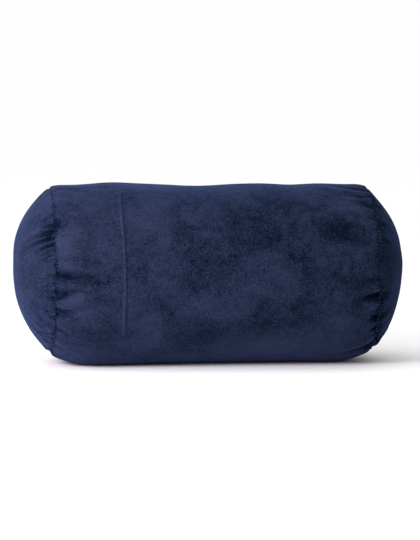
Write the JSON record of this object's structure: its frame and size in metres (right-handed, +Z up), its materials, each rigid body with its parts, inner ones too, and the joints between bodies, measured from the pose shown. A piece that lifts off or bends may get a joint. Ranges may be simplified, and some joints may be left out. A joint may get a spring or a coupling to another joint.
{
  "type": "cylindrical neck pillow",
  "caption": "Stuffed cylindrical neck roll with domed ends, in a removable suede-like cover with a zip along its back, over a lined fibre filling.",
  "frame": {"origin": "centre of the flattened patch that the pillow lies on, midway between its ends", "axes": "+X along the pillow towards the end where the zip closes, +Y towards the back, where the zip is, +Z up"},
  "size_m": [0.367, 0.1718, 0.1678],
  "materials": {
    "cover_fabric": "brushed microfibre suede, navy, with a soft sheen",
    "sewing_thread": "twisted polyester thread, navy",
    "zip_tape": "woven polyester tape, navy",
    "zip_coil": "nylon monofilament, navy, satin",
    "zip_metal": "dark enamelled zinc, semi-gloss",
    "care_label": "woven satin label tape, off-white, blank",
    "lining": "plain-woven cotton blend, unbleached, matte",
    "lining_thread": "polyester thread, unbleached",
    "fibre_filling": "loose white polyester fibre"
  },
  "bodies": {
    "pillow": {"cover_wrap": "cover_fabric", "cover_end_left": "cover_fabric", "cover_end_right": "cover_fabric", "end_seam_thread_left": "sewing_thread", "end_seam_thread_right": "sewing_thread", "zip_tape_upper": "zip_tape", "zip_tape_lower": "zip_tape", "zip_coil_upper": "zip_coil", "zip_coil_lower": "zip_coil", "zip_stitch_upper": "sewing_thread", "zip_stitch_lower": "sewing_thread", "zip_top_stop_upper": "zip_metal", "zip_top_stop_lower": "zip_metal", "zip_bottom_stop": "zip_metal", "care_label": "care_label", "liner_wrap": "lining", "liner_end_left": "lining", "liner_end_right": "lining", "liner_closing_seam": "lining_thread", "fibre_filling": "fibre_filling"},
    "slider": {"zip_slider": "zip_metal"},
    "pull_tab": {"zip_pull_tab": "zip_metal"}
  },
  "joints": [
    {"name": "zip_slide", "type": "slide", "parent": "pillow", "child": "slider", "axis": [-1, 0, 0], "range_m": [0, 0.208]},
    {"name": "pull_tab_pivot", "type": "hinge", "parent": "slider", "child": "pull_tab", "pos_m": [0.1042, 0.08316, 0.11227], "axis": [0, 0.342, -0.9397], "range_deg": [0, 180]}
  ]
}
